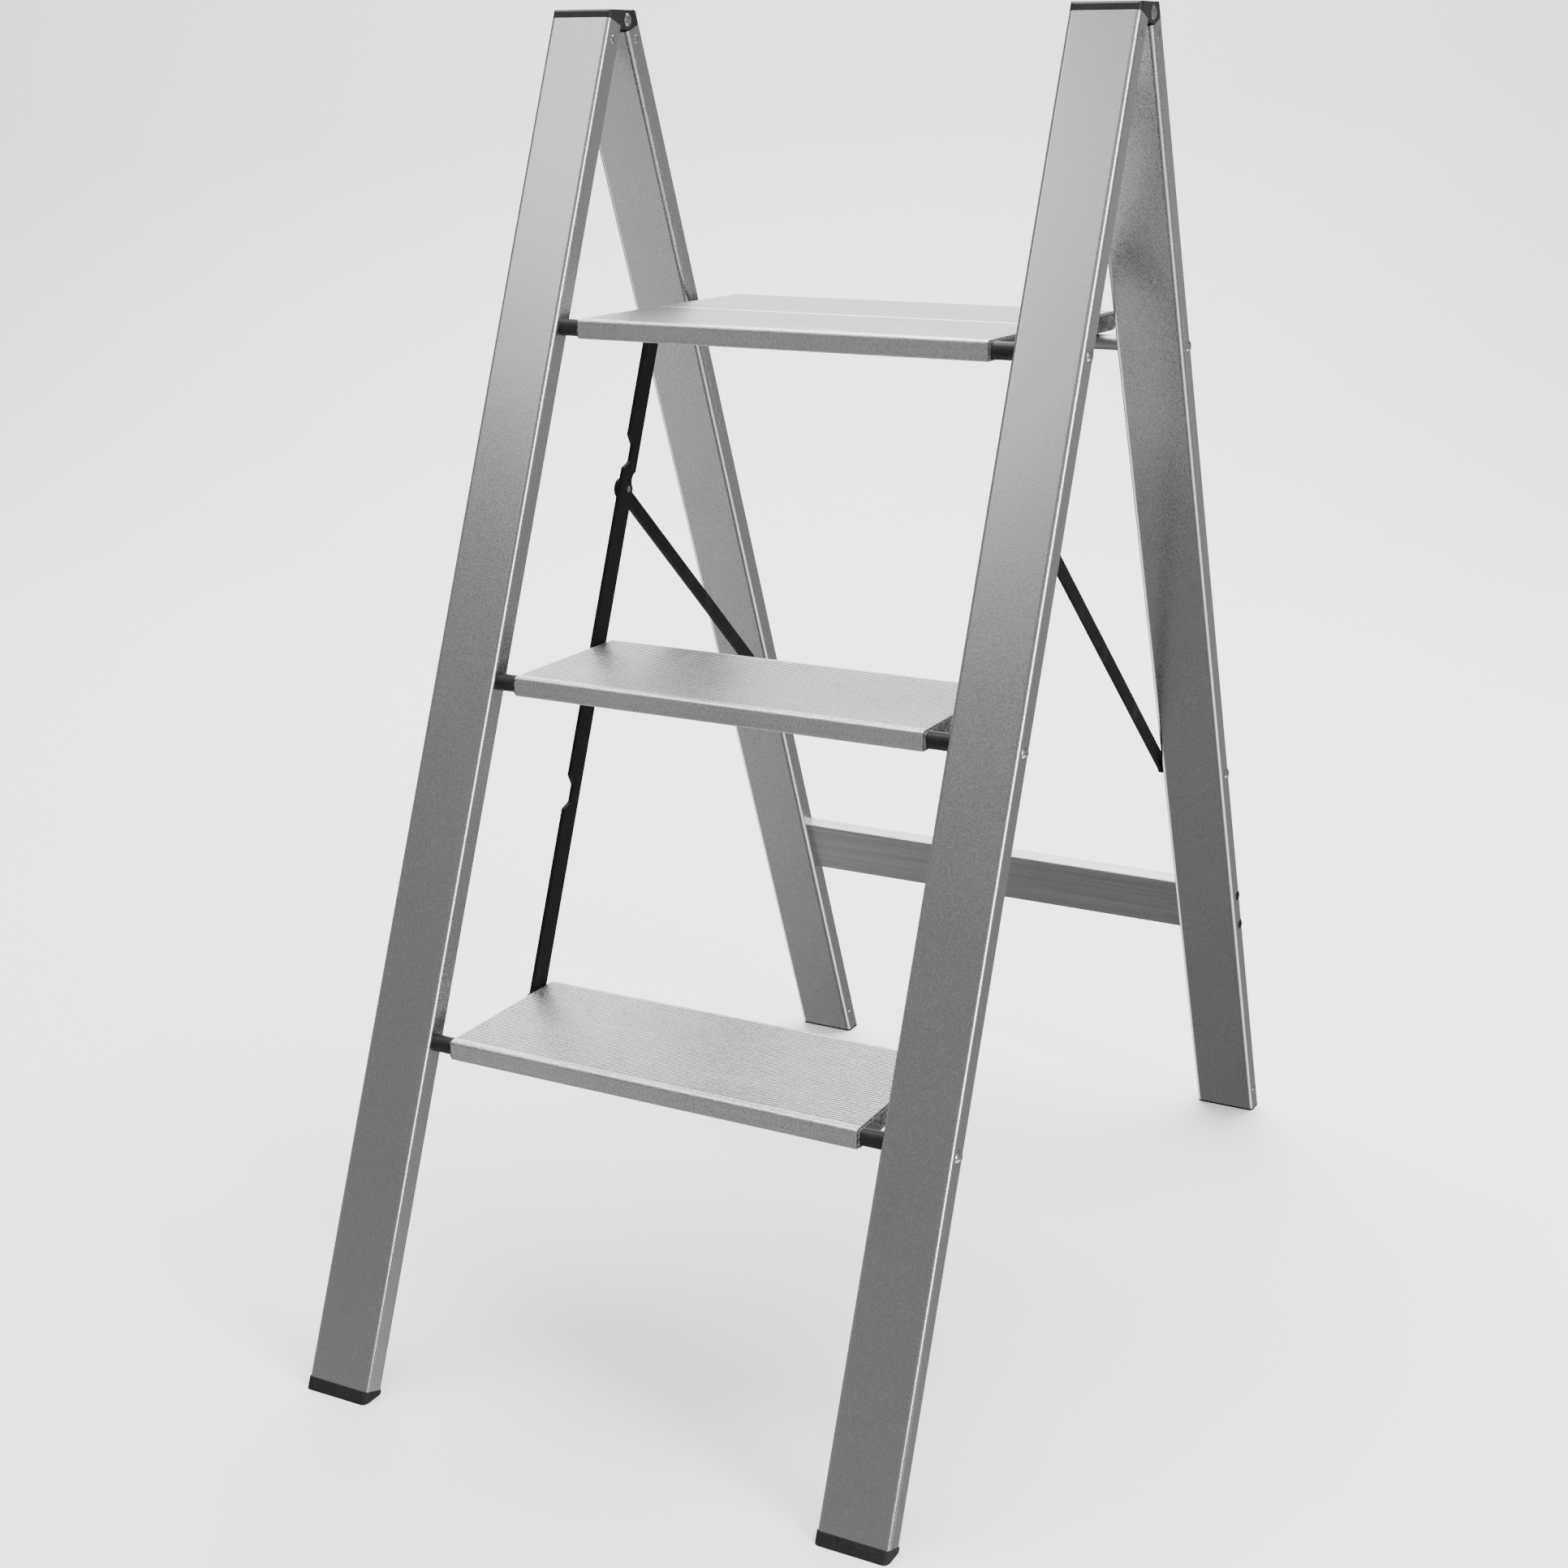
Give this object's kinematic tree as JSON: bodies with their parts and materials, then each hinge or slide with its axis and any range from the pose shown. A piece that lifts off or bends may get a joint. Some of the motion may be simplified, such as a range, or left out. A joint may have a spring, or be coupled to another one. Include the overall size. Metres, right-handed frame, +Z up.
{
  "type": "step_ladder",
  "caption": "Slim three-step folding aluminium step ladder with black hinge caps, flat black link bars and braces, and ribbed flat steps, standing open.",
  "frame": {"origin": "on the floor, under the centre of the open ladder's box", "axes": "+Z up, X across the ladder, -Y towards the climbing side, +Y towards the rear legs"},
  "size_m": [0.4524, 0.7772, 0.9299],
  "materials": {
    "rail_aluminium": "satin anodised",
    "bar_aluminium": "satin",
    "step_aluminium": "fine ribbed, satin",
    "end_plug_plastic": "speckled grey",
    "cap_plastic": "black, lightly grained",
    "foot_rubber": "matte black",
    "rivet_steel": "plain",
    "spacer_steel": "dull",
    "black_steel": "black, satin"
  },
  "bodies": {
    "front_frame": {"front_rail_left": "rail_aluminium", "front_rail_right": "rail_aluminium", "front_top_cap_left": "cap_plastic", "front_top_cap_right": "cap_plastic", "front_foot_left": "foot_rubber", "front_foot_right": "foot_rubber", "axle_bottom": "rivet_steel", "axle_middle": "rivet_steel", "axle_top": "rivet_steel", "axle_sleeves": "cap_plastic", "hinge_pins": "rivet_steel", "front_cap_rivets": "rivet_steel"},
    "rear_frame": {"rear_leg_left": "rail_aluminium", "rear_leg_right": "rail_aluminium", "rear_top_cap_left": "cap_plastic", "rear_top_cap_right": "cap_plastic", "rear_foot_left": "foot_rubber", "rear_foot_right": "foot_rubber", "cross_tube": "bar_aluminium", "cross_tube_rod": "rivet_steel", "cross_bar": "bar_aluminium", "cross_bar_inserts": "cap_plastic", "cross_bar_screws": "black_steel", "rear_leg_rivets": "rivet_steel", "brace_studs": "rivet_steel"},
    "step_bottom_body": {"step_bottom": "step_aluminium", "step_bottom_end_plugs": "end_plug_plastic", "step_bottom_link_pins": "rivet_steel"},
    "step_middle_body": {"step_middle": "step_aluminium", "step_middle_end_plugs": "end_plug_plastic", "step_middle_link_pins": "rivet_steel"},
    "step_top_body": {"step_top": "step_aluminium", "step_top_rear_profile": "step_aluminium", "step_top_end_plugs": "end_plug_plastic", "step_top_link_pins": "rivet_steel"},
    "link_left_body": {"link_bar_left": "black_steel", "link_rivet_left": "spacer_steel"},
    "link_right_body": {"link_bar_right": "black_steel", "link_rivet_right": "spacer_steel"},
    "brace_left_body": {"brace_left": "black_steel"},
    "brace_right_body": {"brace_right": "black_steel"}
  },
  "joints": [
    {"name": "rear_frame_hinge", "type": "hinge", "parent": "front_frame", "child": "rear_frame", "pos_m": [0, -0.0067, 0.92257], "axis": [-1, 0, 0], "range_deg": [0, 43.45]},
    {"name": "step_bottom_hinge", "type": "hinge", "parent": "front_frame", "child": "step_bottom_body", "pos_m": [0, -0.28841, 0.2325], "axis": [1, 0, 0], "range_deg": [0, 68.9]},
    {"name": "step_middle_hinge", "type": "hinge", "parent": "front_frame", "child": "step_middle_body", "pos_m": [0, -0.196, 0.472], "axis": [1, 0, 0], "range_deg": [0, 68.9]},
    {"name": "step_top_hinge", "type": "hinge", "parent": "front_frame", "child": "step_top_body", "pos_m": [0, -0.10358, 0.7115], "axis": [1, 0, 0], "range_deg": [0, 68.9]},
    {"name": "link_left_hinge", "type": "hinge", "parent": "step_middle_body", "child": "link_left_body", "pos_m": [-0.1615, -0.095, 0.4692], "axis": [-1, 0, 0], "range_deg": [0, 68.9]},
    {"name": "link_right_hinge", "type": "hinge", "parent": "step_middle_body", "child": "link_right_body", "pos_m": [0.1615, -0.095, 0.4692], "axis": [-1, 0, 0], "range_deg": [0, 68.9]},
    {"name": "brace_left_hinge", "type": "hinge", "parent": "link_left_body", "child": "brace_left_body", "pos_m": [-0.167, -0.04014, 0.58701], "axis": [-1, 0, 0], "range_deg": [0, 68.52]},
    {"name": "brace_right_hinge", "type": "hinge", "parent": "link_right_body", "child": "brace_right_body", "pos_m": [0.167, -0.04014, 0.58701], "axis": [-1, 0, 0], "range_deg": [0, 68.52]}
  ],
  "couplings": [
    {"joint": "step_bottom_hinge", "follows": "rear_frame_hinge", "ratio": 1.5857},
    {"joint": "step_middle_hinge", "follows": "rear_frame_hinge", "ratio": 1.5857},
    {"joint": "step_top_hinge", "follows": "rear_frame_hinge", "ratio": 1.5857},
    {"joint": "link_left_hinge", "follows": "rear_frame_hinge", "ratio": 1.5857},
    {"joint": "link_right_hinge", "follows": "rear_frame_hinge", "ratio": 1.5857},
    {"joint": "brace_left_hinge", "follows": "rear_frame_hinge", "ratio": 1.5769},
    {"joint": "brace_right_hinge", "follows": "rear_frame_hinge", "ratio": 1.5769}
  ]
}
